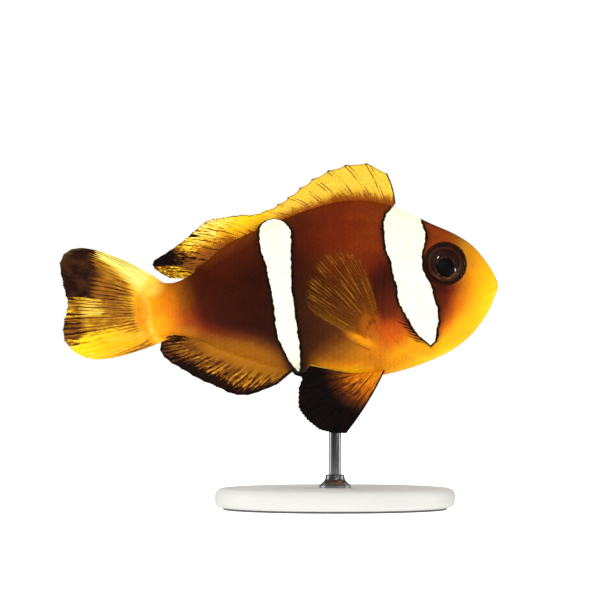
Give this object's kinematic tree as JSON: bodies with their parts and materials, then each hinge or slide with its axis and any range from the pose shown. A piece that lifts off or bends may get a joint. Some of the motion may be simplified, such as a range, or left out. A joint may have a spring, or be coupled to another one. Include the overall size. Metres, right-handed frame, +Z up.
{
  "type": "clownfish, still life-size model on a display stand",
  "caption": "Life-size two-banded clownfish with spread fins, a still model held level on one slim rod above a round base.",
  "frame": {"origin": "centre of the underside of the stand's round base", "axes": "+X along the fish towards its snout, +Y towards the fish's left side, +Z up"},
  "size_m": [0.0802, 0.044, 0.0633],
  "materials": {
    "skin": "moist satin, dark brown with orange-yellow snout, belly and tail stem and two white bars",
    "fin": "thin translucent yellow membrane with dark streaks along the rays",
    "dark_fin": "satin black with an orange, streaked front root",
    "eye": "dark brown iris and black pupil under a clear, high-gloss cornea",
    "stand_base": "pale satin lacquer",
    "steel": "fine brushed satin"
  },
  "bodies": {
    "root": {"head": "skin", "lower_jaw": "skin", "trunk": "skin", "tail_stem": "skin", "gill_cover_right": "skin", "gill_cover_left": "skin", "dorsal_fin_spiny": "fin", "dorsal_fin_soft": "fin", "anal_fin": "fin", "tail_fin": "fin", "pectoral_fin_right": "fin", "pectoral_fin_left": "fin", "pelvic_fin_right": "dark_fin", "pelvic_fin_left": "dark_fin", "eye_right": "eye", "eye_left": "eye", "stand_base": "stand_base", "stand_collar": "steel", "stand_rod": "steel"}
  },
  "joints": []
}
